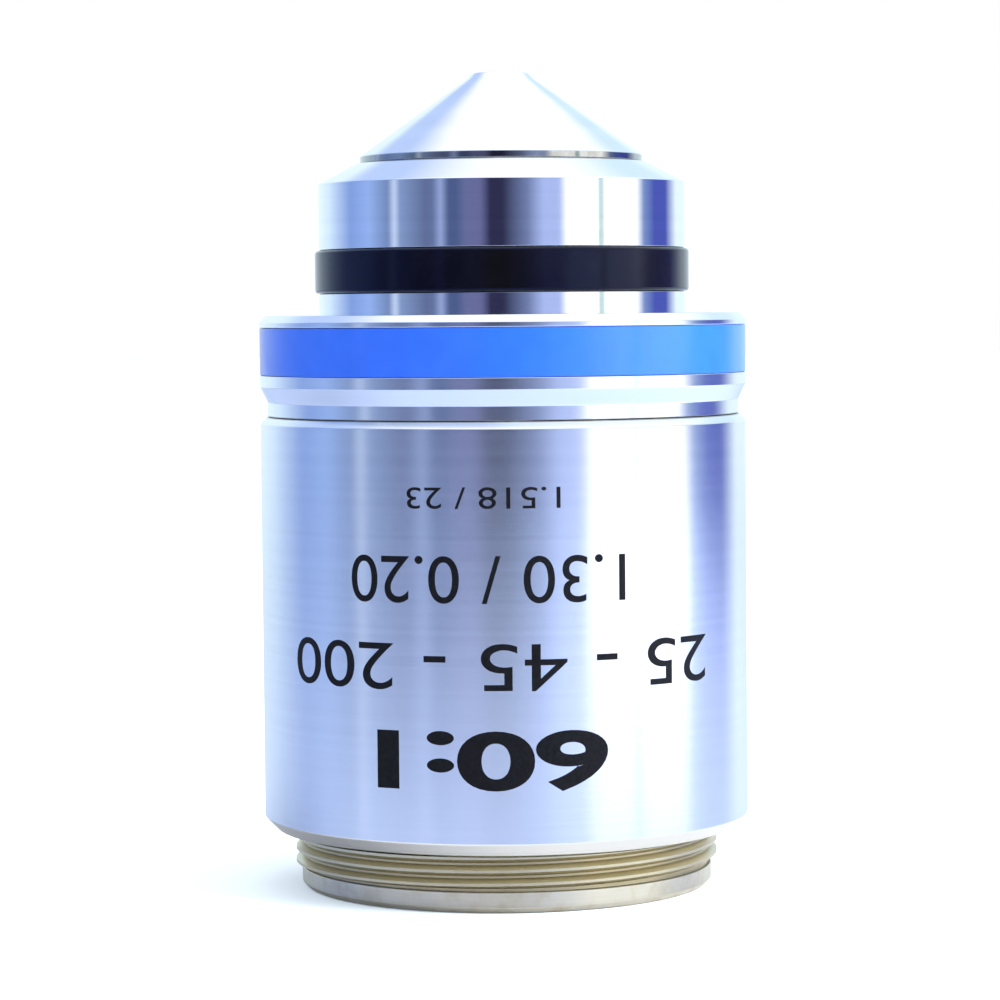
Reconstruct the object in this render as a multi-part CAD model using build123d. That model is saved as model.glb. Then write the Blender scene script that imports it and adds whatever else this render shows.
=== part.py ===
from build123d import *
import math
import os

# Oil immersion microscope objective with a spring-loaded nose, standing on its thread.
# Millimetres. Z is the optical axis and z = 0 is the rear end of the thread.

# Clearances between pieces
running_gap = 0.05  # radial, where the nose slides in the housing
seat_gap = 0.02  # between pieces that are screwed, cemented or stacked together
rest_gap = 0.05  # between faces that stop against each other

# Nose travel against its spring
travel = 1.15

# Threaded mount
thread_radius = 12.5
thread_length = 1.9
thread_wall = 2.5
pilot_step = 0.35
pilot_length = 1.2
pilot_chamfer = 0.3
relief_depth = 0.5
relief_length = 0.39
rear_bore_depth = 5.0
mount_flange_thickness = 2.0
guide_wall = 1.2

# Outer sleeve
shoulder_width = 1.12
sleeve_length = 24.26
sleeve_wall = 1.18
sleeve_lip_thickness = 1.1
sleeve_bottom_chamfer = 0.71
sleeve_top_chamfer = 0.4

# Front ring, screwed into the sleeve
ring_skirt_length = 3.2
ring_groove_depth = 0.43
ring_groove_height = 0.85
ring_cone_height = 0.87
ring_top_chamfer = 0.4
band_land_below = 0.72
band_land_above = 0.32
band_width = 2.74
band_thickness = 0.3

# Nose sleeve
flange_clearance = 0.27
flange_overlap = 2.1
flange_thickness = 1.5
nose_wall = 1.61
nose_land = 3.9
nose_chamfer_width = 2.28
nose_chamfer_height = 1.2

# Black ring on the nose
black_ring_clear = 0.14
black_ring_width = 2.49
black_ring_proud = 0.24
black_ring_inset = 0.3

# Front cone that holds the two lenses nearest the specimen
cone_rim_step = 0.2
cone_rim_height = 0.4
cone_height = 4.49
cone_front_radius = 2.0
tip_height = 0.36
tip_bevel = 0.35
cone_boss_step = 0.8
cone_boss_reach = 1.05

# Front lens, a hemisphere behind a small flat window
window_land = 0.5
window_bevel = 0.35
window_depth = 0.58
front_pocket_length = 1.2

# Meniscus lens behind it, held by a slotted ring
meniscus_radius = 3.4
meniscus_front_sag = 1.5
meniscus_rear_sag = 2.0
meniscus_edge = 1.7
meniscus_air = 1.28
meniscus_seat_width = 0.35
meniscus_ring_length = 1.4
meniscus_ring_wall = 0.4

# Lens barrel that slides in the guide tube
barrel_wall = 1.05
barrel_lip_length = 1.4
barrel_lip_width = 1.2

# Lens stack in the barrel, from the front. A sag is the depth of a curved surface at the lens edge.
cell_margin = 0.5
collector_cell_wall = 2.48
collector_front_land = 1.4
collector_front_sag = 0.66
collector_rear_sag = 1.52
collector_edge = 1.2
front_spacer_length = 2.0
middle_cell_wall = 1.48
middle_front_sag = 1.8
middle_cement_sag = 2.2
middle_rear_sag = 0.55
middle_crown_edge = 1.0
middle_flint_middle = 1.6
stop_thickness = 0.8
stop_width = 1.78
rear_cell_wall = 1.28
rear_front_sag = 1.33
rear_cement_sag = 1.76
rear_rear_sag = 0.78
rear_crown_edge = 1.1
rear_flint_middle = 1.7
cell_seat_width = 0.5
spacer_wall = 0.9
retaining_ring_length = 2.4
retaining_ring_wall = 1.4
retaining_ring_recess = 1.2

# Spanner slots in both screwed rings
spanner_slot_width = 1.0
spanner_slot_depth = 0.6

# Spring between the guide tube and the sleeve
spring_wire_radius = 0.6
spring_turns = 6.25

# Guide screw that keeps the nose from turning
screw_height = 7.4
screw_radius = 1.0
screw_tip_radius = 0.75
screw_tip_inset = 0.4
screw_driver_slot = 0.3

# Radii that follow, from the mounting thread inwards
rear_bore_radius = thread_radius - thread_wall
pilot_radius = thread_radius - pilot_step
relief_radius = thread_radius - relief_depth
sleeve_radius = thread_radius + shoulder_width + sleeve_bottom_chamfer
sleeve_bore = sleeve_radius - sleeve_wall
lip_bore = thread_radius + seat_gap
groove_radius = sleeve_radius - ring_groove_depth
flange_radius = sleeve_bore - flange_clearance
nose_radius = flange_radius - flange_overlap
ring_bore = nose_radius + running_gap
nose_bore = nose_radius - nose_wall
barrel_radius = nose_bore - seat_gap
barrel_bore = barrel_radius - barrel_wall
stack_radius = barrel_bore - seat_gap
guide_bore = barrel_radius + running_gap
guide_radius = guide_bore + guide_wall
black_ring_seat = nose_radius - black_ring_inset
cone_rim_radius = nose_radius - nose_chamfer_width - cone_rim_step
cone_boss_radius = cone_rim_radius - cone_boss_step
tip_radius = cone_front_radius - tip_bevel
window_radius = tip_radius - window_land
hemisphere_radius = window_radius + window_bevel
collector_radius = stack_radius - collector_cell_wall
middle_radius = stack_radius - middle_cell_wall
rear_radius = stack_radius - rear_cell_wall

# Heights that follow, from the thread upwards
relief_start = pilot_length + thread_length
shoulder = relief_start + relief_length
mount_flange_bottom = shoulder + sleeve_lip_thickness + seat_gap
mount_flange_top = mount_flange_bottom + mount_flange_thickness
sleeve_top = shoulder + sleeve_length
ring_skirt_bottom = sleeve_top - ring_skirt_length
ring_bottom = sleeve_top + seat_gap
ring_cone_bottom = ring_bottom + ring_groove_height
ring_face_bottom = ring_cone_bottom + ring_cone_height
band_bottom = ring_face_bottom + band_land_below
band_top = band_bottom + band_width
ring_face_top = band_top + band_land_above
ring_top = ring_face_top + ring_top_chamfer
flange_top = ring_skirt_bottom - rest_gap
flange_bottom = flange_top - flange_thickness
guide_top = flange_bottom - travel - rest_gap
black_ring_bottom = ring_top + travel + black_ring_clear
black_ring_top = black_ring_bottom + black_ring_width
nose_corner = black_ring_top + nose_land
nose_top = nose_corner + nose_chamfer_height
cone_bottom = nose_top + seat_gap
cone_start = cone_bottom + cone_rim_height
cone_end = cone_start + cone_height
tip = cone_end + tip_height
screw_z = mount_flange_top + screw_height

# Heights of the two lenses in the cone, from the tip down
pocket_bottom = tip - window_depth - front_pocket_length
meniscus_seat = pocket_bottom - meniscus_air
meniscus_front = meniscus_seat - seat_gap
meniscus_rear = meniscus_front - meniscus_edge
nose_seat = meniscus_rear - meniscus_rear_sag - cone_boss_reach

# Heights of the barrel and its stack: the front cells from the top down, the rear cell from the bottom up
barrel_top = nose_seat - seat_gap
barrel_bottom = rear_bore_depth + travel + rest_gap
collector_top = barrel_top - barrel_lip_length - seat_gap
collector_seat = collector_top - collector_front_land
collector_rear = collector_seat - seat_gap - collector_edge
collector_bottom = collector_rear - collector_rear_sag - cell_margin
front_spacer_top = collector_bottom - seat_gap
middle_top = front_spacer_top - front_spacer_length - seat_gap
middle_seat = middle_top - cell_margin - middle_front_sag
middle_cement = middle_seat - seat_gap - middle_crown_edge
middle_flint_rear = middle_cement - seat_gap - middle_cement_sag - middle_flint_middle
middle_bottom = middle_flint_rear - cell_margin
stop_top = middle_bottom - seat_gap
retaining_ring_bottom = barrel_bottom + retaining_ring_recess
rear_bottom = retaining_ring_bottom + retaining_ring_length + seat_gap
rear_flint_rear = rear_bottom + cell_margin
rear_cement = rear_flint_rear + rear_flint_middle + rear_cement_sag + seat_gap
rear_seat = rear_cement + rear_crown_edge + seat_gap
rear_top = rear_seat + rear_front_sag + cell_margin
rear_spacer_bottom = rear_top + seat_gap
rear_spacer_top = stop_top - stop_thickness - seat_gap


def turned(*corners):
    # Solid turned about Z from the corners of its half section, as (radius, height).
    section = make_face(Polyline(*corners, close=True))
    return revolve(Plane.XZ * section, Axis.Z)


def ring(inner, outer, bottom, top):
    # Plain ring with square edges.
    return turned((inner, bottom), (outer, bottom), (outer, top), (inner, top))


def sphere_depth(sag, edge_radius, radius):
    # Depth, at that radius, of a sphere that is sag deep at its edge. A hollow surface has a negative sag.
    curve = (edge_radius**2 + sag**2) / (2 * abs(sag))
    return math.copysign(curve - math.sqrt(curve**2 - radius**2), sag)


def bevel_rise(sag, edge_radius, inner):
    # Rise of a bevelled seat that clears a lens bulging between its edge and the inner radius.
    return sag - sphere_depth(sag, edge_radius, inner) + seat_gap


def lens(edge_front, front_sag, edge_rear, rear_sag, radius):
    # Round lens between two spherical surfaces. A positive sag bulges out of the glass.
    middle_front = edge_front + front_sag
    middle_rear = edge_rear - rear_sag
    half_front = middle_front - sphere_depth(front_sag, radius, radius / 2)
    half_rear = middle_rear + sphere_depth(rear_sag, radius, radius / 2)
    outline = [
        ThreePointArc((0, middle_front), (radius / 2, half_front), (radius, edge_front)),
        Line((radius, edge_front), (radius, edge_rear)),
        ThreePointArc((radius, edge_rear), (radius / 2, half_rear), (0, middle_rear)),
        Line((0, middle_rear), (0, middle_front)),
    ]
    return revolve(Plane.XZ * make_face(outline), Axis.Z)


def spanner_slots(inner, outer, face):
    # Two opposite slots across a screwed ring, cut into its rear face.
    middle = (inner + outer) / 2
    block = Box(2 * (outer - inner), spanner_slot_width, 2 * spanner_slot_depth)
    return [Pos(side * middle, 0, face) * block for side in (-1, 1)]


def make_thread_mount():
    # Brass mount, turned in one piece: pilot, thread, an undercut up to its flange, and the guide tube.
    body = turned(
        (rear_bore_radius, 0),
        (pilot_radius - pilot_chamfer, 0),
        (pilot_radius, pilot_chamfer),
        (pilot_radius, pilot_length),
        (thread_radius, pilot_length),
        (thread_radius, relief_start),
        (relief_radius, relief_start),
        (relief_radius, mount_flange_bottom),
        (sleeve_bore - seat_gap, mount_flange_bottom),
        (sleeve_bore - seat_gap, mount_flange_top),
        (guide_radius, mount_flange_top),
        (guide_radius, guide_top),
        (guide_bore, guide_top),
        (guide_bore, rear_bore_depth),
        (rear_bore_radius, rear_bore_depth),
    )
    hole = Cylinder(screw_radius + seat_gap, 2 * guide_wall)
    place = Pos(0, (guide_bore + guide_radius) / 2, screw_z) * Rot(90, 0, 0)
    return body - place * hole


def make_outer_sleeve():
    # Chromed housing tube. Its lip is clamped between the mount's flange and the nosepiece.
    return turned(
        (lip_bore, shoulder),
        (sleeve_radius - sleeve_bottom_chamfer, shoulder),
        (sleeve_radius, shoulder + sleeve_bottom_chamfer),
        (sleeve_radius, sleeve_top - sleeve_top_chamfer),
        (sleeve_radius - sleeve_top_chamfer, sleeve_top),
        (sleeve_bore, sleeve_top),
        (sleeve_bore, shoulder + sleeve_lip_thickness),
        (lip_bore, shoulder + sleeve_lip_thickness),
    )


def make_front_ring():
    # Ring at the sleeve's mouth: neck, flared edge, groove for the coloured band, and a skirt that stops
    # the nose.
    body = turned(
        (ring_bore, ring_skirt_bottom),
        (sleeve_bore - seat_gap, ring_skirt_bottom),
        (sleeve_bore - seat_gap, ring_bottom),
        (groove_radius, ring_bottom),
        (groove_radius, ring_cone_bottom),
        (sleeve_radius, ring_face_bottom),
        (sleeve_radius, ring_face_top),
        (sleeve_radius - ring_top_chamfer, ring_top),
        (ring_bore, ring_top),
    )
    band_seat = sleeve_radius - band_thickness - seat_gap
    groove = ring(band_seat, 2 * sleeve_radius, band_bottom - seat_gap, band_top + seat_gap)
    return body - groove


def make_magnification_band():
    # Coloured band let in flush with the front ring.
    return ring(sleeve_radius - band_thickness, sleeve_radius, band_bottom, band_top)


def make_retraction_spring():
    # Compression spring round the guide tube, its ends ground flat on the mount's and the nose's flange.
    wire = spring_wire_radius
    mean_radius = (guide_radius + sleeve_bore) / 2
    bottom = mount_flange_top + seat_gap
    top = flange_bottom - seat_gap
    height = top - bottom - wire
    path = Pos(0, 0, bottom + wire / 2) * Helix(height / spring_turns, height, mean_radius)
    section = Plane(origin=path @ 0, z_dir=path % 0) * Circle(wire)
    coil = sweep(section, path=path, is_frenet=True)
    return coil & ring(guide_radius, sleeve_bore, bottom, top)


def make_guide_screw():
    # Small screw through the guide tube, its tip in the barrel's slot.
    hanging = (Align.CENTER, Align.CENTER, Align.MAX)
    head = Cylinder(screw_radius, guide_wall - seat_gap, align=hanging)
    point = Cylinder(screw_tip_radius, guide_wall + barrel_wall - screw_tip_inset, align=hanging)
    driver = Box(screw_driver_slot, 3 * screw_radius, 2 * screw_driver_slot)
    screw = head + point - driver
    return Pos(0, guide_radius - seat_gap, screw_z) * Rot(-90, 0, 0) * screw


def make_lens_barrel():
    # Inner tube with the lens stack. A slot for the guide screw is milled through its wall.
    lip = barrel_bore - barrel_lip_width
    lip_bottom = barrel_top - barrel_lip_length
    body = turned(
        (barrel_bore, barrel_bottom),
        (barrel_radius, barrel_bottom),
        (barrel_radius, barrel_top),
        (lip, barrel_top),
        (lip, lip_bottom),
        (barrel_bore, lip_bottom),
    )
    half_width = screw_tip_radius + running_gap
    outline = SlotCenterToCenter(travel + 2 * rest_gap, 2 * half_width, rotation=90)
    place = Pos(0, barrel_radius, screw_z + travel / 2) * Rot(90, 0, 0)
    return body - place * extrude(outline, 2 * barrel_wall, both=True)


def make_nose_sleeve():
    # Chromed nose: the flange that the spring pushes, the black ring's groove and the front hole.
    hole = cone_boss_radius + seat_gap
    body = turned(
        (nose_bore, flange_bottom),
        (flange_radius, flange_bottom),
        (flange_radius, flange_top),
        (nose_radius, flange_top),
        (nose_radius, nose_corner),
        (nose_radius - nose_chamfer_width, nose_top),
        (hole, nose_top),
        (hole, nose_seat),
        (nose_bore, nose_seat),
    )
    groove = ring(
        black_ring_seat - seat_gap,
        2 * nose_radius,
        black_ring_bottom - seat_gap,
        black_ring_top + seat_gap,
    )
    return body - groove


def make_immersion_ring():
    # Black ring that stands a little proud of the nose, with its outer edges broken.
    outer = nose_radius + black_ring_proud
    edge = black_ring_proud / 2
    return turned(
        (black_ring_seat, black_ring_bottom),
        (outer - edge, black_ring_bottom),
        (outer, black_ring_bottom + edge),
        (outer, black_ring_top - edge),
        (outer - edge, black_ring_top),
        (black_ring_seat, black_ring_top),
    )


def make_front_cone():
    # Front cell: cone with the front lens in its tip, the meniscus lens behind it and a threaded boss.
    pocket = hemisphere_radius + seat_gap
    lens_bore = meniscus_radius + seat_gap
    return turned(
        (lens_bore, nose_seat),
        (cone_boss_radius, nose_seat),
        (cone_boss_radius, cone_bottom),
        (cone_rim_radius, cone_bottom),
        (cone_rim_radius, cone_start),
        (cone_front_radius, cone_end),
        (tip_radius, tip),
        (window_radius + seat_gap, tip),
        (pocket, tip - window_depth),
        (pocket, pocket_bottom),
        (meniscus_radius - meniscus_seat_width, meniscus_seat),
        (lens_bore, meniscus_seat),
    )


def make_front_lens():
    # Hemisphere whose flat window is flush with the tip.
    top = tip - seat_gap
    middle = top - window_depth
    half = hemisphere_radius / math.sqrt(2)
    outline = [
        Line((0, top), (window_radius, top)),
        Line((window_radius, top), (hemisphere_radius, middle)),
        ThreePointArc((hemisphere_radius, middle), (half, middle - half), (0, middle - hemisphere_radius)),
        Line((0, middle - hemisphere_radius), (0, top)),
    ]
    return revolve(Plane.XZ * make_face(outline), Axis.Z)


def make_meniscus_lens():
    # Deep meniscus, hollow towards the specimen.
    return lens(meniscus_front, -meniscus_front_sag, meniscus_rear, meniscus_rear_sag, meniscus_radius)


def make_meniscus_ring():
    # Slotted ring with a bevelled edge, screwed in behind the meniscus lens.
    top = meniscus_rear - 2 * seat_gap
    bottom = top - meniscus_ring_length
    inner = meniscus_radius - meniscus_ring_wall
    body = turned(
        (inner, bottom),
        (meniscus_radius, bottom),
        (meniscus_radius, top),
        (inner, top - bevel_rise(meniscus_rear_sag, meniscus_radius, inner)),
    )
    return body - spanner_slots(inner, meniscus_radius, bottom)


def cell(lens_radius, seat, rise, bottom, top):
    # Lens cell: a ring bored for its lens from the rear, with a narrow seat in front of the lens.
    bore = lens_radius + seat_gap
    inner = lens_radius - cell_seat_width
    return turned(
        (bore, bottom),
        (stack_radius, bottom),
        (stack_radius, top),
        (inner, top),
        (inner, seat + rise),
        (bore, seat),
    )


def make_collector_cell():
    return cell(collector_radius, collector_seat, 0, collector_bottom, collector_top)


def make_collector_lens():
    # Single lens with its strong side to the rear.
    front = collector_seat - seat_gap
    return lens(front, -collector_front_sag, collector_rear, collector_rear_sag, collector_radius)


def make_front_spacer():
    bottom = front_spacer_top - front_spacer_length
    return ring(stack_radius - spacer_wall, stack_radius, bottom, front_spacer_top)


def make_middle_cell():
    rise = bevel_rise(middle_front_sag, middle_radius, middle_radius - cell_seat_width)
    return cell(middle_radius, middle_seat, rise, middle_bottom, middle_top)


def make_middle_crown_lens():
    # Front half of a cemented pair, bulging on both sides.
    return lens(middle_seat - seat_gap, middle_front_sag, middle_cement, middle_cement_sag, middle_radius)


def make_middle_flint_lens():
    # Rear half of the pair, hollow towards its partner.
    edge_rear = middle_flint_rear + middle_rear_sag
    return lens(middle_cement - seat_gap, -middle_cement_sag, edge_rear, middle_rear_sag, middle_radius)


def make_aperture_stop():
    # Thin disc whose bevelled hole limits the beam.
    bottom = stop_top - stop_thickness
    aperture = stack_radius - stop_width
    return turned(
        (aperture, bottom),
        (stack_radius, bottom),
        (stack_radius, stop_top),
        (aperture + stop_thickness, stop_top),
    )


def make_rear_spacer():
    return ring(stack_radius - spacer_wall, stack_radius, rear_spacer_bottom, rear_spacer_top)


def make_rear_cell():
    rise = bevel_rise(rear_front_sag, rear_radius, rear_radius - cell_seat_width)
    return cell(rear_radius, rear_seat, rise, rear_bottom, rear_top)


def make_rear_crown_lens():
    # Front half of the rear cemented pair.
    return lens(rear_seat - seat_gap, rear_front_sag, rear_cement, rear_cement_sag, rear_radius)


def make_rear_flint_lens():
    # Rear half of the pair, the glass seen from the thread end.
    edge_rear = rear_flint_rear + rear_rear_sag
    return lens(rear_cement - seat_gap, -rear_cement_sag, edge_rear, rear_rear_sag, rear_radius)


def make_retaining_ring():
    # Slotted ring that clamps the whole stack from the rear.
    inner = stack_radius - retaining_ring_wall
    body = ring(inner, stack_radius, retaining_ring_bottom, retaining_ring_bottom + retaining_ring_length)
    return body - spanner_slots(inner, stack_radius, retaining_ring_bottom)


sub_parts = {
    "thread_mount": make_thread_mount,
    "outer_sleeve": make_outer_sleeve,
    "front_ring": make_front_ring,
    "magnification_band": make_magnification_band,
    "retraction_spring": make_retraction_spring,
    "guide_screw": make_guide_screw,
    "nose_sleeve": make_nose_sleeve,
    "immersion_ring": make_immersion_ring,
    "front_cone": make_front_cone,
    "front_lens": make_front_lens,
    "meniscus_lens": make_meniscus_lens,
    "meniscus_ring": make_meniscus_ring,
    "lens_barrel": make_lens_barrel,
    "collector_cell": make_collector_cell,
    "collector_lens": make_collector_lens,
    "front_spacer": make_front_spacer,
    "middle_cell": make_middle_cell,
    "middle_crown_lens": make_middle_crown_lens,
    "middle_flint_lens": make_middle_flint_lens,
    "aperture_stop": make_aperture_stop,
    "rear_spacer": make_rear_spacer,
    "rear_cell": make_rear_cell,
    "rear_crown_lens": make_rear_crown_lens,
    "rear_flint_lens": make_rear_flint_lens,
    "retaining_ring": make_retaining_ring,
}

os.makedirs("parts", exist_ok=True)
for name, make in sub_parts.items():
    export_step(make(), f"parts/{name}.step")
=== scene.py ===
import math

import bpy
from mathutils import Euler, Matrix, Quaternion, Vector


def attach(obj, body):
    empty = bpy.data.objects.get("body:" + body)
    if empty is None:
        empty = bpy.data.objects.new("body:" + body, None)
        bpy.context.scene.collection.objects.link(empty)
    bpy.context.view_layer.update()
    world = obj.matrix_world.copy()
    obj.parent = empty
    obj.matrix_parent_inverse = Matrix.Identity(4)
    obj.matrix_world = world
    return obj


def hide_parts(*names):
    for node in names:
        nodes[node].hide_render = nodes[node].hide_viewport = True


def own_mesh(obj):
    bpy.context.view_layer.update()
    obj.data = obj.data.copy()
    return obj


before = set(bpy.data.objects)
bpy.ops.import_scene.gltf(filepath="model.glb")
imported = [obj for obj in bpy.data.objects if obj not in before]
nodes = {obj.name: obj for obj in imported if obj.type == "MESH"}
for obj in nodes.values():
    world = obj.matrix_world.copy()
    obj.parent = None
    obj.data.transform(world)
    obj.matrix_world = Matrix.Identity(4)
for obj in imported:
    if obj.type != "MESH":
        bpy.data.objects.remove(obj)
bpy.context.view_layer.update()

# All lengths below are millimetres, turned into metres where a mesh is made. Z is the optical axis.
mm = 0.001
weld = 0.0005  # points nearer to each other than this become one
fineCut = 1e-7  # how near a cut a point counts as lying on it, in metres
faceShare = 0.37  # how closely the tool rings stand on a flat face, against 1 on a cylinder
noiseSpan = (0.3, 0.7)  # where most values of a noise lie


def clearSelection():
    if bpy.context.object and bpy.context.object.mode != "OBJECT":
        bpy.ops.object.mode_set(mode="OBJECT")
    bpy.ops.object.select_all(action="DESELECT")


def pickOut(piece):
    clearSelection()
    piece.select_set(True)
    bpy.context.view_layer.objects.active = piece


def editAll():
    bpy.ops.object.mode_set(mode="EDIT")
    bpy.ops.mesh.select_mode(type="VERT")
    bpy.ops.mesh.select_all(action="SELECT")


def closeShape(distance=weld):
    # merges what lies together, drops what hangs loose, then turns every face outwards
    bpy.ops.mesh.select_all(action="SELECT")
    bpy.ops.mesh.remove_doubles(threshold=distance * mm)
    bpy.ops.mesh.delete_loose()
    bpy.ops.mesh.select_all(action="SELECT")
    bpy.ops.mesh.normals_make_consistent(inside=False)
    bpy.ops.object.mode_set(mode="OBJECT")


def cutLevel(height, keepAbove, fill=False):
    # cuts straight across and drops what lies on the far side
    bpy.ops.mesh.select_all(action="SELECT")
    bpy.ops.mesh.bisect(
        plane_co=(0, 0, height * mm), plane_no=(0, 0, 1), threshold=fineCut, use_fill=fill,
        clear_inner=keepAbove, clear_outer=not keepAbove,
    )


def applyModifiers(piece):
    pickOut(piece)
    for modifier in list(piece.modifiers):
        bpy.ops.object.modifier_apply(modifier=modifier.name)


def breakEdges(piece, width, segments=3, angle=22):
    # rounds the turned corners and keeps the broad faces flat in the shading
    pickOut(piece)
    bpy.ops.object.shade_smooth()
    rounding = piece.modifiers.new("brokenEdges", "BEVEL")
    rounding.width = width * mm
    rounding.segments = segments
    rounding.limit_method = "ANGLE"
    rounding.angle_limit = math.radians(angle)
    rounding.use_clamp_overlap = True
    rounding.harden_normals = True
    applyModifiers(piece)


def turnPiece(name, corners, steps=256):
    # as on a lathe: a circle is drawn from corner to corner of the half section, as (radius, height)
    clearSelection()
    radius, height = corners[0]
    bpy.ops.mesh.primitive_circle_add(vertices=steps, radius=radius * mm, location=(0, 0, 0))
    piece = bpy.context.object
    piece.name = piece.data.name = name
    editAll()
    bpy.ops.transform.translate(value=(0, 0, height * mm))
    for nextRadius, nextHeight in corners[1:] + corners[:1]:
        rise = (nextHeight - height) * mm
        bpy.ops.mesh.extrude_region_move(TRANSFORM_OT_translate={"value": (0, 0, rise)})
        share = nextRadius / radius
        bpy.ops.transform.resize(value=(share, share, 1), center_override=(0, 0, nextHeight * mm))
        radius, height = nextRadius, nextHeight
    closeShape()
    return piece


def dress(piece, material, body, slot, *stoodFor):
    piece.data.materials.clear()
    piece.data.materials.append(material)
    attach(piece, body)
    if stoodFor:
        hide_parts(*stoodFor)
    return piece


# Shared effects

def newGroup(name, inputs, outputs):
    tree = bpy.data.node_groups.new(name, "ShaderNodeTree")
    for socketName, value in inputs.items():
        socket = tree.interface.new_socket(socketName, in_out="INPUT", socket_type="NodeSocketFloat")
        socket.default_value = value
    for socketName in outputs:
        tree.interface.new_socket(socketName, in_out="OUTPUT", socket_type="NodeSocketFloat")
    return tree, tree.nodes.new("NodeGroupInput"), tree.nodes.new("NodeGroupOutput")


def doMath(tree, operation, first, second=None, third=None, clamp=False):
    node = tree.nodes.new("ShaderNodeMath")
    node.operation = operation
    node.use_clamp = clamp
    for socket, value in zip(node.inputs, (first, second, third)):
        if isinstance(value, (int, float)):
            socket.default_value = value
        elif value is not None:
            tree.links.new(value, socket)
    return node.outputs[0]


def remap(tree, value, fromLow, fromHigh, toLow, toHigh, smooth=False):
    node = tree.nodes.new("ShaderNodeMapRange")
    node.interpolation_type = "SMOOTHSTEP" if smooth else "LINEAR"
    for socketName, number in (
        ("From Min", fromLow), ("From Max", fromHigh), ("To Min", toLow), ("To Max", toHigh),
    ):
        node.inputs[socketName].default_value = number
    tree.links.new(value, node.inputs["Value"])
    return node.outputs["Result"]


def objectPoint(tree):
    # the point on the piece in millimetres, its distance from the axis, its height and its place along a
    # turned profile
    coordinate = tree.nodes.new("ShaderNodeTexCoord")
    scale = tree.nodes.new("ShaderNodeVectorMath")
    scale.operation = "SCALE"
    scale.inputs["Scale"].default_value = 1 / mm
    tree.links.new(coordinate.outputs["Object"], scale.inputs[0])
    split = tree.nodes.new("ShaderNodeSeparateXYZ")
    tree.links.new(scale.outputs[0], split.inputs[0])
    x, y, z = split.outputs
    squares = [doMath(tree, "MULTIPLY", side, side) for side in (x, y)]
    radius = doMath(tree, "SQRT", doMath(tree, "ADD", *squares))
    along = doMath(tree, "MULTIPLY_ADD", radius, faceShare, z)
    return scale.outputs[0], radius, z, along


def noise(tree, where, scale, detail=2.0, roughness=0.5, lines=False):
    node = tree.nodes.new("ShaderNodeTexNoise")
    node.noise_dimensions = "1D" if lines else "3D"
    node.inputs["Scale"].default_value = scale
    node.inputs["Detail"].default_value = detail
    node.inputs["Roughness"].default_value = roughness
    tree.links.new(where, node.inputs["W" if lines else "Vector"])
    return node.outputs["Fac"]


def makeTurningMarks():
    # rings left by the tool: fine ones for the bump and broad ones for the tone
    tree, given, out = newGroup(
        "turningMarks", {"Lines Per Millimetre": 9.0, "Fine Share": 0.6}, ["Height", "Tone"],
    )
    _, _, _, along = objectPoint(tree)
    counted = doMath(tree, "MULTIPLY", along, given.outputs["Lines Per Millimetre"])
    fine = noise(tree, counted, 1.0, 2.0, 0.6, True)
    broad = noise(tree, along, 1.7, 3.0, 0.55, True)
    share = given.outputs["Fine Share"]
    fineShare = doMath(tree, "MULTIPLY", fine, share)
    broadShare = doMath(tree, "MULTIPLY", broad, doMath(tree, "SUBTRACT", 1.0, share))
    tree.links.new(doMath(tree, "ADD", fineShare, broadShare), out.inputs["Height"])
    tree.links.new(broad, out.inputs["Tone"])
    return tree


def makeHandlingMarks():
    # soft smudges where fingers hold it, with finer specks inside them
    tree, given, out = newGroup("handlingMarks", {"Size": 3.0, "Amount": 0.5}, ["Smudge", "Speck"])
    point, _, _, _ = objectPoint(tree)
    shrink = tree.nodes.new("ShaderNodeVectorMath")
    shrink.operation = "SCALE"
    tree.links.new(point, shrink.inputs[0])
    tree.links.new(doMath(tree, "DIVIDE", 1.0, given.outputs["Size"]), shrink.inputs["Scale"])
    cloud = noise(tree, shrink.outputs[0], 1.0, 4.0, 0.55)
    grain = noise(tree, shrink.outputs[0], 11.0, 3.0, 0.6)
    smudge = remap(tree, cloud, 0.42, 0.72, 0.0, 1.0, True)
    tree.links.new(doMath(tree, "MULTIPLY", smudge, given.outputs["Amount"]), out.inputs["Smudge"])
    tree.links.new(remap(tree, grain, 0.66, 0.74, 0.0, 1.0, True), out.inputs["Speck"])
    return tree


def makeSeamGrime():
    # painted shade: a dark band in the corner where two pieces meet, where the gap between them lies in
    # shadow, broken up a little round the seam
    tree, given, out = newGroup("seamGrime", {"Height": 0.0, "Reach": 0.1}, ["Grime"])
    point, _, z, _ = objectPoint(tree)
    away = doMath(tree, "ABSOLUTE", doMath(tree, "SUBTRACT", z, given.outputs["Height"]))
    near = doMath(tree, "SUBTRACT", 1.0, doMath(tree, "DIVIDE", away, given.outputs["Reach"]), clamp=True)
    broken = remap(tree, noise(tree, point, 0.9, 3.0, 0.6), 0.3, 0.5, 0.7, 1.0)
    solid = doMath(tree, "MULTIPLY", near, 2.5, clamp=True)
    tree.links.new(doMath(tree, "MULTIPLY", solid, broken), out.inputs["Grime"])
    return tree


turningMarks = makeTurningMarks()
handlingMarks = makeHandlingMarks()
seamGrime = makeSeamGrime()


def newMaterial(name, **constants):
    material = bpy.data.materials.new(name)
    material.use_nodes = True
    tree = material.node_tree
    shader = tree.nodes["Principled BSDF"]
    for socketName, value in constants.items():
        shader.inputs[socketName.replace("_", " ")].default_value = value
    return material, tree, shader


def placeGroup(tree, group, **values):
    node = tree.nodes.new("ShaderNodeGroup")
    node.node_tree = group
    for socketName, value in values.items():
        node.inputs[socketName.replace("_", " ")].default_value = value
    return node


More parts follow.
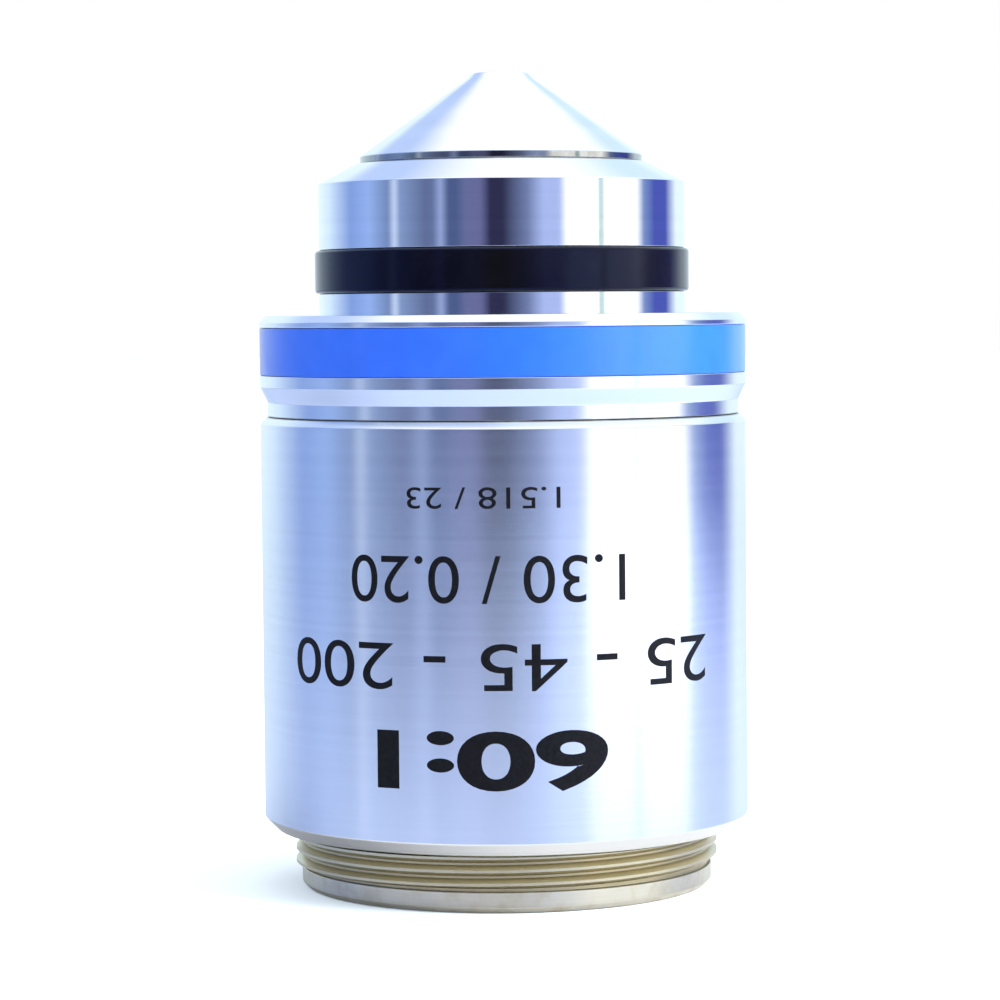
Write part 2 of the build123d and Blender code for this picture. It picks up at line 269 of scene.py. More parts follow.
def mixColours(tree, factor, first, second):
    # of the Mix node's sockets, inputs 6 and 7 and output 2 are the colours
    node = tree.nodes.new("ShaderNodeMix")
    node.data_type = "RGBA"
    tree.links.new(factor, node.inputs["Factor"])
    for socket, value in ((node.inputs[6], first), (node.inputs[7], second)):
        if isinstance(value, tuple):
            socket.default_value = (*value, 1)
        else:
            tree.links.new(value, socket)
    return node.outputs[2]


def addBump(tree, shader, height, distance, strength):
    bump = tree.nodes.new("ShaderNodeBump")
    bump.inputs["Distance"].default_value = distance * mm
    bump.inputs["Strength"].default_value = strength
    tree.links.new(height, bump.inputs["Height"])
    tree.links.new(bump.outputs["Normal"], shader.inputs["Normal"])


def makeTurnedMetal(name, values):
    # any bare turned metal: tone from the tool rings, dulled a little where it was handled
    material, tree, shader = newMaterial(name, Metallic=1.0)
    marks = placeGroup(tree, turningMarks, Lines_Per_Millimetre=values["lines"], Fine_Share=0.6)
    touched = placeGroup(tree, handlingMarks, Size=values["smudgeSize"], Amount=values["smudge"])
    tone = remap(tree, marks.outputs["Tone"], *noiseSpan, 0.0, 1.0)
    metal = mixColours(tree, tone, values["dark"], values["light"])
    # where a seam height is given, painted shade darkens the metal along the joint
    if "seam" in values:
        seam = placeGroup(tree, seamGrime, Height=values["seam"], Reach=values["seamReach"])
        metal = mixColours(tree, seam.outputs["Grime"], metal, values["shadeColour"])
    tree.links.new(metal, shader.inputs["Base Color"])
    ringed = remap(tree, marks.outputs["Height"], *noiseSpan, values["smooth"], values["rough"])
    rough = doMath(tree, "MULTIPLY_ADD", touched.outputs["Smudge"], values["dulling"], ringed, clamp=True)
    tree.links.new(rough, shader.inputs["Roughness"])
    addBump(tree, shader, marks.outputs["Height"], values["bump"], values["bumpStrength"])
    return material, tree, shader


satinChrome = makeTurnedMetal("satinChrome", {
    "dark": (0.88, 0.90, 0.92), "light": (0.91, 0.93, 0.95),
    "lines": 14.0, "smudgeSize": 4.0, "smudge": 0.5,
    "smooth": 0.15, "rough": 0.18, "dulling": 0.04, "bump": 0.001, "bumpStrength": 0.05,
    # painted shade along the joint between the sleeve and the front ring
    "seam": 27.76, "seamReach": 0.09, "shadeColour": (0.42, 0.41, 0.38),
})[0]

brightChrome = makeTurnedMetal("brightChrome", {
    "dark": (0.86, 0.88, 0.91), "light": (0.90, 0.92, 0.95),
    "lines": 12.0, "smudgeSize": 3.0, "smudge": 0.4,
    "smooth": 0.05, "rough": 0.075, "dulling": 0.03, "bump": 0.001, "bumpStrength": 0.05,
    # painted shade round the cone's rim, in the gap above the nose's top
    "seam": 42.75, "seamReach": 0.24, "shadeColour": (0.42, 0.42, 0.40),
})[0]

springSteel = makeTurnedMetal("springSteel", {
    "dark": (0.42, 0.42, 0.44), "light": (0.55, 0.55, 0.56),
    "lines": 5.0, "smudgeSize": 1.5, "smudge": 0.6,
    "smooth": 0.22, "rough": 0.34, "dulling": 0.12, "bump": 0.002, "bumpStrength": 0.3,
})[0]

blackenedBrass = makeTurnedMetal("blackenedBrass", {
    "dark": (0.035, 0.032, 0.030), "light": (0.060, 0.052, 0.044),
    "lines": 5.0, "smudgeSize": 2.0, "smudge": 0.7,
    "smooth": 0.32, "rough": 0.45, "dulling": 0.1, "bump": 0.003, "bumpStrength": 0.4,
})[0]


def makeOiledBrass(values):
    # bare brass: golden brown in the oiled thread and darkest in its roots, paler and stained on the plain
    # turned parts
    material, tree, shader = makeTurnedMetal("oiledBrass", values)
    point, radius, z, _ = objectPoint(tree)
    clean = shader.inputs["Base Color"].links[0].from_socket
    patch = remap(tree, noise(tree, point, 0.9, 5.0, 0.6), 0.45, 0.68, 0.0, values["stainShare"], True)
    stained = mixColours(tree, patch, clean, values["stain"])
    above = remap(tree, z, *values["threadFrom"], 0.0, 1.0)
    below = remap(tree, z, *values["threadTo"], 1.0, 0.0)
    threadOnly = doMath(tree, "MULTIPLY", above, below)
    oil = doMath(tree, "MULTIPLY", threadOnly, values["oil"])
    oiled = mixColours(tree, oil, stained, values["thread"])
    root = remap(tree, radius, values["rootRadius"], values["crestRadius"], 1.0, 0.0, True)
    dirty = mixColours(tree, doMath(tree, "MULTIPLY", root, threadOnly), oiled, values["rootDirt"])
    tree.links.new(dirty, shader.inputs["Base Color"])
    return material


oiledBrass = makeOiledBrass({
    "dark": (0.73, 0.71, 0.62), "light": (0.80, 0.78, 0.69), "stain": (0.66, 0.61, 0.48), "stainShare": 0.7,
    "thread": (0.70, 0.64, 0.45), "threadFrom": (1.15, 1.3), "threadTo": (3.4, 3.6), "oil": 0.85,
    "rootDirt": (0.54, 0.47, 0.30), "rootRadius": 12.08, "crestRadius": 12.36,
    "lines": 6.0, "smudgeSize": 1.6, "smudge": 0.8,
    "smooth": 0.27, "rough": 0.35, "dulling": 0.08, "bump": 0.002, "bumpStrength": 0.3,
})


def makeBlueEnamel(values):
    # baked enamel, thin and even, with a clear gloss on top
    material, tree, shader = newMaterial(
        "blueEnamel", Coat_Weight=0.55, Coat_Roughness=0.12, Coat_IOR=1.5, Specular_IOR_Level=0.3,
    )
    touched = placeGroup(tree, handlingMarks, Size=2.5, Amount=0.6)
    point, _, _, _ = objectPoint(tree)
    flow = noise(tree, point, 0.8, 2.0, 0.5)
    body = mixColours(tree, remap(tree, flow, 0.35, 0.65, 0.0, 1.0), values["deep"], values["bright"])
    tree.links.new(body, shader.inputs["Base Color"])
    tree.links.new(remap(tree, touched.outputs["Smudge"], 0.0, 0.6, 0.34, 0.44), shader.inputs["Roughness"])
    addBump(tree, shader, noise(tree, point, 3.0, 2.0, 0.5), 0.004, 0.3)
    return material


blueEnamel = makeBlueEnamel({"deep": (0.008, 0.079, 0.52), "bright": (0.009, 0.085, 0.55)})


def makeBlackRing(values):
    # hard black plastic with a shine and a faint moulded grain
    material, tree, shader = newMaterial(
        "blackRing", Specular_IOR_Level=0.38, Specular_Tint=(0.22, 0.32, 0.95, 1),
    )
    point, _, _, _ = objectPoint(tree)
    touched = placeGroup(tree, handlingMarks, Size=2.0, Amount=1.0)
    tint = mixColours(tree, touched.outputs["Smudge"], values["body"], values["worn"])
    tree.links.new(tint, shader.inputs["Base Color"])
    grain = noise(tree, point, 9.0, 3.0, 0.6)
    tree.links.new(remap(tree, grain, *noiseSpan, 0.10, 0.15), shader.inputs["Roughness"])
    addBump(tree, shader, grain, 0.001, 0.08)
    return material


blackRing = makeBlackRing({"body": (0.0026, 0.0023, 0.0024), "worn": (0.0036, 0.0033, 0.0038)})


def makeBlackAnodised(values):
    # dyed matt black of the cells and spacers, as light-tight pieces are
    material, tree, shader = newMaterial("blackAnodised", Specular_IOR_Level=0.4)
    marks = placeGroup(tree, turningMarks, Lines_Per_Millimetre=6.0, Fine_Share=0.7)
    tint = mixColours(tree, marks.outputs["Tone"], values["deep"], values["grey"])
    tree.links.new(tint, shader.inputs["Base Color"])
    tree.links.new(remap(tree, marks.outputs["Height"], *noiseSpan, 0.38, 0.55), shader.inputs["Roughness"])
    addBump(tree, shader, marks.outputs["Height"], 0.004, 0.5)
    return material


blackAnodised = makeBlackAnodised({"deep": (0.010, 0.010, 0.012), "grey": (0.022, 0.022, 0.025)})


def makeLensGlass(values):
    # polished optical glass with a little dust and a coat whose colour shows at a slant
    material, tree, shader = newMaterial(
        "lensGlass", Transmission_Weight=1.0, IOR=1.52, Coat_Weight=0.35, Coat_Tint=(0.72, 0.80, 1.0, 1),
    )
    touched = placeGroup(tree, handlingMarks, Size=0.8, Amount=1.0)
    tint = mixColours(tree, touched.outputs["Speck"], values["clear"], values["dusty"])
    tree.links.new(tint, shader.inputs["Base Color"])
    tree.links.new(remap(tree, touched.outputs["Smudge"], 0.0, 1.0, 0.0, 0.02), shader.inputs["Roughness"])
    return material


lensGlass = makeLensGlass({"clear": (0.985, 0.99, 1.0), "dusty": (0.93, 0.93, 0.92)})


def makeBlackInk(values):
    # matt black of the printed numbers
    material, tree, shader = newMaterial("blackInk", Specular_IOR_Level=0.15)
    point, _, _, _ = objectPoint(tree)
    grain = noise(tree, point, 6.0, 3.0, 0.6)
    tint = mixColours(tree, remap(tree, grain, 0.35, 0.7, 0.0, 1.0), values["deep"], values["grey"])
    tree.links.new(tint, shader.inputs["Base Color"])
    tree.links.new(remap(tree, grain, *noiseSpan, 0.40, 0.55), shader.inputs["Roughness"])
    return material


blackInk = makeBlackInk({"deep": (0.002, 0.002, 0.003), "grey": (0.006, 0.006, 0.008)})
print("materials made")

# Housing

outerSleeve = {
    "corners": [
        (12.52, 3.49), (13.62, 3.49), (14.33, 4.20), (14.33, 27.35),
        (13.93, 27.75), (13.15, 27.75), (13.15, 4.59), (12.52, 4.59),
    ],
    "edge": 0.06,
}
sleeve = turnPiece("sleeve", outerSleeve["corners"])
breakEdges(sleeve, outerSleeve["edge"])
dress(sleeve, satinChrome, "housing", "satin_chrome", "outer_sleeve")

frontRing = {
    "corners": [
        (10.83, 24.55), (13.13, 24.55), (13.13, 27.77), (13.90, 27.77), (13.90, 28.62), (14.33, 29.49),
        (14.33, 30.19), (14.01, 30.19), (14.01, 32.97), (14.33, 32.97), (14.33, 33.27), (13.93, 33.67),
        (10.83, 33.67),
    ],
    "edge": 0.05,
}
ringPiece = turnPiece("ring", frontRing["corners"])
breakEdges(ringPiece, frontRing["edge"])
dress(ringPiece, satinChrome, "housing", "satin_chrome", "front_ring")

colourBand = {"corners": [(14.03, 30.21), (14.33, 30.21), (14.33, 32.95), (14.03, 32.95)], "edge": 0.04}
band = turnPiece("band", colourBand["corners"])
breakEdges(band, colourBand["edge"])
dress(band, blueEnamel, "housing", "blue_enamel", "magnification_band")
print("sleeve, ring and band made")

# Threaded mount

threadMount = {
    "corners": [
        (10.0, 0), (11.85, 0), (12.15, 0.3), (12.15, 1.2), (11.9, 1.2), (11.9, 3.1), (12.0, 3.1),
        (12.0, 4.61), (13.13, 4.61), (13.13, 6.61), (10.40, 6.61), (10.40, 21.80), (9.20, 21.80),
        (9.20, 5.0), (10.0, 5.0),
    ],
    "edge": 0.05,
    "screwHole": {"radius": 1.02, "middle": (0, 9.8, 14.01), "length": 4, "sides": 48},
    "thread": {
        "pitch": 0.75, "crest": 12.5, "root": 12.08, "crestShare": 0.2, "rootShare": 0.16, "inner": 11.7,
        "start": -0.05, "turns": 5, "low": 1.42, "high": 3.24, "steps": 180,
        "edge": 0.02, "edgeSegments": 2, "edgeAngle": 30,
    },
}


def makeThread(values):
    # one pitch of the profile is drawn point by point, screwed round, cut flat at both ends and closed by
    # an inner wall
    pitch, crest, root = values["pitch"], values["crest"], values["root"]
    flank = pitch * (1 - values["crestShare"] - values["rootShare"]) / 2
    clearSelection()
    bpy.ops.mesh.primitive_plane_add(size=pitch * mm, location=(0, 0, 0))
    piece = bpy.context.object
    piece.name = piece.data.name = "threadRidge"
    editAll()
    bpy.ops.mesh.merge(type="CENTER")
    bpy.ops.transform.translate(value=(root * mm, 0, values["start"] * mm))
    profile = (
        (0, pitch * values["rootShare"]), (crest - root, flank),
        (0, pitch * values["crestShare"]), (root - crest, flank),
    )
    for out, up in profile:
        bpy.ops.mesh.extrude_vertices_move(TRANSFORM_OT_translate={"value": (out * mm, 0, up * mm)})
    bpy.ops.object.mode_set(mode="OBJECT")
    turning = piece.modifiers.new("turning", "SCREW")
    turning.axis = "Z"
    turning.screw_offset = pitch * mm
    turning.iterations = values["turns"]
    turning.steps = turning.render_steps = values["steps"]
    turning.use_merge_vertices = True
    turning.merge_threshold = weld * mm
    applyModifiers(piece)
    editAll()
    bpy.ops.mesh.remove_doubles(threshold=weld * mm)
    cutLevel(values["low"], True)
    cutLevel(values["high"], False)
    # both open ends are drawn inwards, then joined by the inner wall
    bpy.ops.mesh.select_mode(type="EDGE")
    bpy.ops.mesh.select_all(action="DESELECT")
    bpy.ops.mesh.select_non_manifold()
    share = values["inner"] / crest
    bpy.ops.mesh.extrude_region_move(TRANSFORM_OT_translate={"value": (0, 0, 0)})
    bpy.ops.transform.resize(value=(share, share, 1), center_override=(0, 0, 0))
    bpy.ops.mesh.bridge_edge_loops()
    closeShape()
    return piece


thread = threadMount["thread"]
ridge = makeThread(thread)
breakEdges(ridge, thread["edge"], thread["edgeSegments"], thread["edgeAngle"])
dress(ridge, oiledBrass, "housing", "thread_brass")

mount = turnPiece("mount", threadMount["corners"])
breakEdges(mount, threadMount["edge"])
hole = threadMount["screwHole"]
clearSelection()
bpy.ops.mesh.primitive_cylinder_add(
    vertices=hole["sides"], radius=hole["radius"] * mm, depth=hole["length"] * mm,
    location=[v * mm for v in hole["middle"]], rotation=(math.pi / 2, 0, 0),
)
drill = bpy.context.object
drilling = mount.modifiers.new("screwHole", "BOOLEAN")
drilling.operation = "DIFFERENCE"
drilling.object = drill
applyModifiers(mount)
bpy.data.objects.remove(drill)
dress(mount, oiledBrass, "housing", "thread_brass", "thread_mount")
print("threaded mount made")

# Nose

noseSleeve = {
    "corners": [
        (9.17, 23.0), (12.88, 23.0), (12.88, 24.5), (10.78, 24.5), (10.78, 34.94), (10.46, 34.94),
        (10.46, 37.47), (10.78, 37.47), (10.78, 41.35), (8.5, 42.55), (7.52, 42.55), (7.52, 39.99),
        (9.17, 39.99),
    ],
    "edge": 0.06,
}
nose = turnPiece("nose", noseSleeve["corners"])
breakEdges(nose, noseSleeve["edge"])
dress(nose, brightChrome, "nose", "satin_chrome", "nose_sleeve")

immersionRing = {
    "corners": [
        (10.48, 34.96), (10.90, 34.96), (11.02, 35.08), (11.02, 37.33), (10.90, 37.45), (10.48, 37.45),
    ],
    "edge": 0.06,
}
darkRing = turnPiece("darkRing", immersionRing["corners"])
breakEdges(darkRing, immersionRing["edge"])
dress(darkRing, blackRing, "nose", "black_ring", "immersion_ring")

frontCone = {
    "corners": [
        (3.42, 39.99), (7.5, 39.99), (7.5, 42.57), (8.3, 42.57), (8.3, 42.97), (2.0, 47.46), (1.65, 47.82),
        (1.17, 47.82), (1.52, 47.24), (1.52, 46.04), (3.05, 44.76), (3.42, 44.76),
    ],
    "edge": 0.05,
}
cone = turnPiece("cone", frontCone["corners"])
breakEdges(cone, frontCone["edge"])
dress(cone, brightChrome, "nose", "satin_chrome", "front_cone")

frontLens = {
    "radius": 1.5, "middle": 47.22, "window": 1.15, "top": 47.80, "pole": 0.0002, "domeSteps": 14,
    "steps": 96, "edge": 0.03, "edgeAngle": 30,
}
outline = []
for i in range(frontLens["domeSteps"] + 1):
    angle = math.radians(90 * i / frontLens["domeSteps"])
    across = max(frontLens["radius"] * math.sin(angle), frontLens["pole"])
    outline.append((across, frontLens["middle"] - frontLens["radius"] * math.cos(angle)))
outline += [(frontLens["window"], frontLens["top"]), (frontLens["pole"], frontLens["top"])]
window = turnPiece("frontLens", outline, frontLens["steps"])
breakEdges(window, frontLens["edge"], angle=frontLens["edgeAngle"])
dress(window, lensGlass, "nose", "lens_glass", "front_lens")
print("nose, ring, cone and front lens made")

# Spring between the mount and the nose's flange, drawn at rest; the real one shortens as the nose goes in

noseSpring = {
    "wire": 0.6, "mean": 11.775, "low": 6.63, "high": 22.98, "turns": 6.25, "stepsPerTurn": 64, "sides": 20,
    "smoothAngle": 35,
}
clearSelection()
bpy.ops.mesh.primitive_circle_add(
    vertices=noseSpring["sides"], radius=noseSpring["wire"] * mm, location=(0, 0, 0),
    rotation=(math.pi / 2, 0, 0),
)
spring = bpy.context.object
spring.name = spring.data.name = "spring"
bpy.ops.object.transform_apply(location=True, rotation=True, scale=True)
editAll()
coilLow = noseSpring["low"] + noseSpring["wire"] / 2
bpy.ops.transform.translate(value=(noseSpring["mean"] * mm, 0, coilLow * mm))
bpy.ops.object.mode_set(mode="OBJECT")
winding = spring.modifiers.new("winding", "SCREW")
winding.axis = "Z"
winding.angle = 2 * math.pi * noseSpring["turns"]
winding.screw_offset = (noseSpring["high"] - noseSpring["low"] - noseSpring["wire"]) * mm
winding.steps = winding.render_steps = int(noseSpring["turns"] * noseSpring["stepsPerTurn"])
applyModifiers(spring)
# the wire's open ends are closed, then ground flat
editAll()
bpy.ops.mesh.select_mode(type="EDGE")
bpy.ops.mesh.select_all(action="DESELECT")
bpy.ops.mesh.select_non_manifold()
bpy.ops.mesh.edge_face_add()
cutLevel(noseSpring["low"], True, fill=True)
cutLevel(noseSpring["high"], False, fill=True)
closeShape()
pickOut(spring)
bpy.ops.object.shade_smooth_by_angle(angle=math.radians(noseSpring["smoothAngle"]))
dress(spring, springSteel, "housing", "spring_steel", "retraction_spring")
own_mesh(spring)
print("spring made")

# Lettering: plain numbers, black and upside down as the part stands

lettering = {
    "surface": 14.33, "proud": 0.006, "depth": 0.012, "cut": 0.25, "curveSteps": 8,
    "fontThickness": 0.01, "fontWeld": 0.0001, "weld": 0.0002,
    "rows": [
        {
            "name": "numbersTop", "text": "1.518 / 23", "weight": 0.0,
            "middle": 23.53, "height": 1.2, "width": 8.7, "side": -1.2,
        },
        {
            "name": "numbersUpper", "text": "1.30 / 0.20", "weight": 0.0,
            "middle": 18.99, "height": 2.65, "width": 16.2, "side": -1.1,
        },
        {
            "name": "numbersLower", "text": "25 - 45 - 200", "weight": 0.0,
            "middle": 14.11, "height": 2.65, "width": 27.2, "side": -0.4,
        },
        {
            "name": "numbersBottom", "text": "60:1", "weight": 0.03,
            "middle": 8.87, "height": 3.4, "width": 13.4, "side": -0.85,
        },
    ],
}


def makeRow(row, values):
    clearSelection()
    bpy.ops.object.text_add(location=(0, 0, 0))
    words = bpy.context.object
    words.data.body = row["text"]
    words.data.align_x = "CENTER"
    words.data.resolution_u = values["curveSteps"]
    words.data.offset = row["weight"]
    words.data.extrude = values["fontThickness"]
    bpy.ops.object.convert(target="MESH")
    words = bpy.context.object
    words.name = words.data.name = row["name"]
    low = Vector([min(v.co[i] for v in words.data.vertices) for i in range(3)])
    high = Vector([max(v.co[i] for v in words.data.vertices) for i in range(3)])
    middle = (low + high) / 2
    editAll()
    bpy.ops.mesh.remove_doubles(threshold=values["fontWeld"])
    bpy.ops.transform.translate(value=-middle)
    bpy.ops.transform.resize(
        value=(
            row["width"] * mm / (high.x - low.x), row["height"] * mm / (high.y - low.y),
            values["depth"] * mm / (high.z - low.z),
        ),
        center_override=(0, 0, 0),
    )
    # upright strips narrow enough to follow the sleeve
    for k in range(int(row["width"] / values["cut"]) + 1):
        bpy.ops.mesh.select_all(action="SELECT")
        place = (k * values["cut"] - row["width"] / 2) * mm
        bpy.ops.mesh.bisect(plane_co=(place, 0, 0), plane_no=(1, 0, 0), threshold=fineCut)
    bpy.ops.object.mode_set(mode="OBJECT")
    # laid round the sleeve, turned so that its feet are up
    for vertex in words.data.vertices:
        across, up, out = vertex.co
        radius = (values["surface"] + values["proud"] - values["depth"] / 2) * mm + out
        angle = (row["side"] * mm - across) / (values["surface"] * mm)
        vertex.co = (radius * math.sin(angle), -radius * math.cos(angle), row["middle"] * mm - up)
    editAll()
    closeShape(values["weld"])
    return words


for row in lettering["rows"]:
    dress(makeRow(row, lettering), blackInk, "housing", "black_ring")
print("lettering made")

# Pieces whose turned shape is already right keep it and get their finish

finishes = {
    "guide_screw": springSteel, "meniscus_lens": lensGlass, "meniscus_ring": blackAnodised,
    "lens_barrel": blackenedBrass, "collector_cell": blackAnodised, "collector_lens": lensGlass,
    "front_spacer": blackAnodised, "middle_cell": blackAnodised, "middle_crown_lens": lensGlass,
    "middle_flint_lens": lensGlass, "aperture_stop": blackAnodised, "rear_spacer": blackAnodised,
    "rear_cell": blackAnodised, "rear_crown_lens": lensGlass, "rear_flint_lens": lensGlass,
    "retaining_ring": blackAnodised,
}
for name, material in finishes.items():
    nodes[name].data.materials.clear()
    nodes[name].data.materials.append(material)
print("inner pieces finished")

# Floor, light and camera

floorPlan = {
    "radius": 2500, "sides": 96, "seenHeight": -0.03, "mirroredHeight": -0.02, "cloudTone": 0.985,
    "seen": (0.92, 0.97, 0.99), "glow": (0.75, 0.90, 1.0), "glowStrength": 0.22,
    "mirrored": (0.31, 0.37, 0.53), "slant": 0.125, "slantPower": 2.2,
    "near": (0.44, 0.44, 0.44), "nearRadius": 20, "farRadius": 30,
}


def makeFloorMaterial(name, colour, slant):
    material, tree, shader = newMaterial(name, Roughness=0.85, Specular_IOR_Level=0.1)
    point, radius, _, _ = objectPoint(tree)
    cloud = noise(tree, point, 0.02, 3.0, 0.5)
    sheet = mixColours(tree, cloud, colour, tuple(floorPlan["cloudTone"] * c for c in colour))
    if slant:
        # neutral close to the part, bluer further out
        near = remap(tree, radius, floorPlan["nearRadius"], floorPlan["farRadius"], 1.0, 0.0, True)
        sheet = mixColours(tree, near, sheet, floorPlan["near"])
        # as a gloss sheet: at a low slant it gives the studio behind, seen steeply its own pale colour
        facing = tree.nodes.new("ShaderNodeLayerWeight")
        facing.inputs["Blend"].default_value = 0.5
        steep = doMath(tree, "SUBTRACT", 1.0, facing.outputs["Facing"])
        clear = tree.nodes.new("ShaderNodeBsdfTransparent")
        blend = tree.nodes.new("ShaderNodeMixShader")
        power = doMath(tree, "POWER", doMath(tree, "DIVIDE", steep, slant), floorPlan["slantPower"])
        tree.links.new(doMath(tree, "EXPONENT", doMath(tree, "MULTIPLY", power, -1.0)), blend.inputs[0])
        tree.links.new(shader.outputs[0], blend.inputs[1])
        tree.links.new(clear.outputs[0], blend.inputs[2])
        tree.links.new(blend.outputs[0], tree.nodes["Material Output"].inputs["Surface"])
    tree.links.new(sheet, shader.inputs["Base Color"])
    return material


def makeFloor(name, height, colour, slant=None):
    clearSelection()
    bpy.ops.mesh.primitive_circle_add(
        vertices=floorPlan["sides"], radius=floorPlan["radius"] * mm, fill_type="NGON",
        location=(0, 0, height * mm),
    )
    floor = bpy.context.object
    floor.name = name
    floor.data.materials.append(makeFloorMaterial(name, colour, slant))
    return floor


# the camera sees one floor and the chrome mirrors the other
seenFloor = makeFloor("seenFloor", floorPlan["seenHeight"], floorPlan["seen"])
seenFloor.visible_glossy = False
seenFloor.visible_transmission = False
seenShader = seenFloor.data.materials[0].node_tree.nodes["Principled BSDF"]
seenShader.inputs["Emission Color"].default_value = (*floorPlan["glow"], 1)
seenShader.inputs["Emission Strength"].default_value = floorPlan["glowStrength"]  # keeps the shadow faint
mirroredFloor = makeFloor(
    "mirroredFloor", floorPlan["mirroredHeight"], floorPlan["mirrored"], floorPlan["slant"],
)
mirroredFloor.visible_camera = False
mirroredFloor.visible_diffuse = False
mirroredFloor.visible_shadow = False

# What stands round the part, by compass angle from the camera, in degrees to the right: white walls and
# panels, blue shade and a dark room behind the camera. Between two of them the light changes evenly.
studio = {
    "strength": 1.6,
    "around": [
        (-180, -156, (0.86, 1.02, 1.12)), (-138, -138, (0.74, 0.92, 1.12)), (-109, -109, (0.25, 0.38, 0.80)),
        (-91, -91, (0.33, 0.49, 0.93)), (-75, -75, (0.19, 0.28, 0.53)), (-70, -70, (0.62, 0.74, 1.00)),
        (-66, -66, (0.25, 0.35, 0.62)), (-48, -48, (0.13, 0.17, 0.34)), (-43, -43, (0.14, 0.19, 0.38)),
        (-38, -38, (0.33, 0.42, 0.72)), (-33, -28, (0.08, 0.12, 0.28)), (-22, -22, (0.15, 0.17, 0.36)),
        (-13, -13, (0.15, 0.16, 0.35)), (-7, 1, (0.03, 0.03, 0.08)), (16, 16, (0.18, 0.23, 0.44)),
        (26, 36, (0.45, 0.55, 0.94)), (43, 62, (1.50, 1.50, 1.50)), (63, 66, (0.62, 0.80, 0.80)),
        (67, 91, (1.50, 1.50, 1.50)), (100, 100, (0.22, 0.32, 0.63)), (111, 125, (0.08, 0.11, 0.50)),
        (142, 142, (0.90, 1.05, 1.18)), (156, 180, (0.88, 1.04, 1.14)),
    ],
    # higher up: a blue gallery, paler on the right, and a white ceiling
    "galleryLeft": (0.55, 0.70, 1.05), "galleryRight": (0.74, 0.94, 1.12), "galleryBlend": 0.1,
    "galleryFrom": 0.30, "galleryTo": 0.46,
    "ceiling": (1.30, 1.30, 1.30), "ceilingFrom": 0.58, "ceilingTo": 0.88, "ceilingTilt": 0.25,
    "soft": (0.96, 1.0, 1.08), "softStrength": 1.2,
}


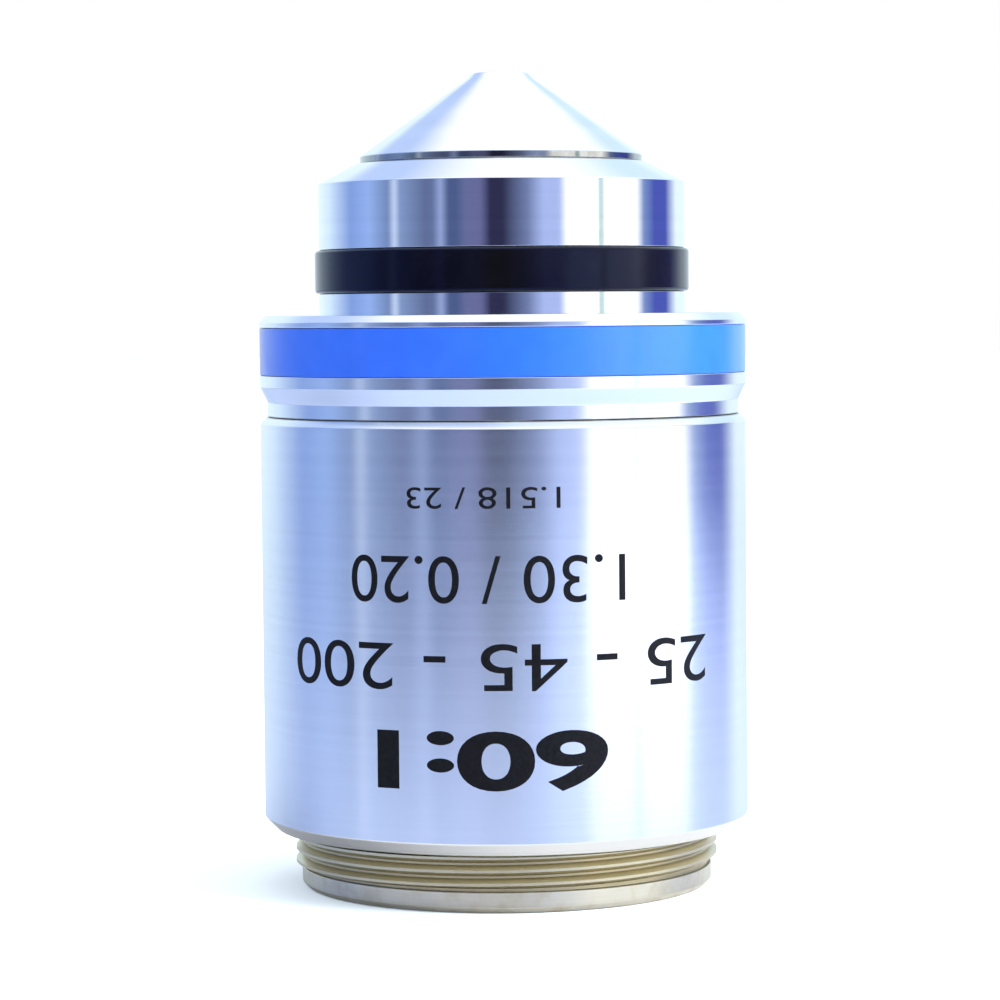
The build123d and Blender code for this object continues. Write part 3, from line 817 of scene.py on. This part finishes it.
def makeStudio(values):
    world = bpy.data.worlds.new("studio")
    bpy.context.scene.world = world
    world.use_nodes = True
    tree = world.node_tree
    for node in list(tree.nodes):
        tree.nodes.remove(node)
    coordinate = tree.nodes.new("ShaderNodeTexCoord")
    split = tree.nodes.new("ShaderNodeSeparateXYZ")
    tree.links.new(coordinate.outputs["Generated"], split.inputs[0])
    x, y, z = split.outputs
    angle = doMath(tree, "ARCTAN2", x, doMath(tree, "MULTIPLY", y, -1.0))
    ramp = tree.nodes.new("ShaderNodeValToRGB")
    tree.links.new(remap(tree, angle, -math.pi, math.pi, 0.0, 1.0), ramp.inputs[0])
    stops = ramp.color_ramp.elements
    for start, end, colour in values["around"]:
        for degrees in sorted({start, end}):
            if degrees == -180:
                stop = stops[0]
            elif degrees == 180:
                stop = stops[-1]
            else:
                stop = stops.new((degrees + 180) / 360)
            stop.color = (*[c / values["strength"] for c in colour], 1)
    galleryLeft, galleryRight, ceiling = (
        tuple(c / values["strength"] for c in values[name])
        for name in ("galleryLeft", "galleryRight", "ceiling")
    )
    level = doMath(tree, "MULTIPLY_ADD", x, values["ceilingTilt"], z)
    side = remap(tree, x, -values["galleryBlend"], values["galleryBlend"], 0.0, 1.0)
    gallery = mixColours(tree, side, galleryLeft, galleryRight)
    low = remap(tree, level, values["galleryFrom"], values["galleryTo"], 0.0, 1.0, True)
    high = remap(tree, level, values["ceilingFrom"], values["ceilingTo"], 0.0, 1.0, True)
    lifted = mixColours(tree, high, mixColours(tree, low, ramp.outputs[0], gallery), ceiling)
    mirrored = tree.nodes.new("ShaderNodeBackground")
    mirrored.inputs["Strength"].default_value = values["strength"]
    tree.links.new(lifted, mirrored.inputs["Color"])
    soft = tree.nodes.new("ShaderNodeBackground")
    soft.inputs["Color"].default_value = (*values["soft"], 1)
    soft.inputs["Strength"].default_value = values["softStrength"]
    plain = tree.nodes.new("ShaderNodeBackground")
    plain.inputs["Color"].default_value = (1, 1, 1, 1)
    path = tree.nodes.new("ShaderNodeLightPath")
    out = tree.nodes.new("ShaderNodeOutputWorld")
    lit = tree.nodes.new("ShaderNodeMixShader")
    tree.links.new(path.outputs["Is Diffuse Ray"], lit.inputs[0])
    tree.links.new(mirrored.outputs[0], lit.inputs[1])
    tree.links.new(soft.outputs[0], lit.inputs[2])
    seen = tree.nodes.new("ShaderNodeMixShader")
    tree.links.new(path.outputs["Is Camera Ray"], seen.inputs[0])
    tree.links.new(lit.outputs[0], seen.inputs[1])
    tree.links.new(plain.outputs[0], seen.inputs[2])
    tree.links.new(seen.outputs[0], out.inputs[0])


makeStudio(studio)

keyLamp = {
    "compass": 75, "rise": 28, "distance": 320, "size": 300, "watts": 3.8, "colour": (1.0, 0.99, 0.97),
}
turn, rise = math.radians(keyLamp["compass"]), math.radians(keyLamp["rise"])
toward = Vector((math.sin(turn) * math.cos(rise), -math.cos(turn) * math.cos(rise), math.sin(rise)))
clearSelection()
bpy.ops.object.light_add(type="AREA", location=toward * keyLamp["distance"] * mm)
lamp = bpy.context.object
lamp.name = "keyLamp"
lamp.rotation_euler = toward.to_track_quat("Z", "Y").to_euler()
lamp.data.size = keyLamp["size"] * mm
lamp.data.energy = keyLamp["watts"]
lamp.data.color = keyLamp["colour"]
lamp.visible_glossy = False

cameraPlace = {
    "at": (-0.225, -211.3, 33.85), "down": 3.03, "roll": -0.5,
    "focalPixels": 3570, "framePixels": 1000, "sensor": 36, "near": 10, "far": 10000,
}
clearSelection()
bpy.ops.object.camera_add(location=[v * mm for v in cameraPlace["at"]])
camera = bpy.context.object
camera.name = "camera"
level = Euler((math.radians(90 - cameraPlace["down"]), 0, 0)).to_quaternion()
camera.rotation_mode = "QUATERNION"
camera.rotation_quaternion = level @ Quaternion((0, 0, 1), math.radians(cameraPlace["roll"]))
camera.data.sensor_width = cameraPlace["sensor"]
camera.data.lens = cameraPlace["focalPixels"] / cameraPlace["framePixels"] * cameraPlace["sensor"]
camera.data.clip_start = cameraPlace["near"] * mm
camera.data.clip_end = cameraPlace["far"] * mm
bpy.context.scene.camera = camera

bpy.context.scene.view_settings.view_transform = "Standard"
bpy.context.scene.view_settings.look = "None"
print("floor, light and camera placed")
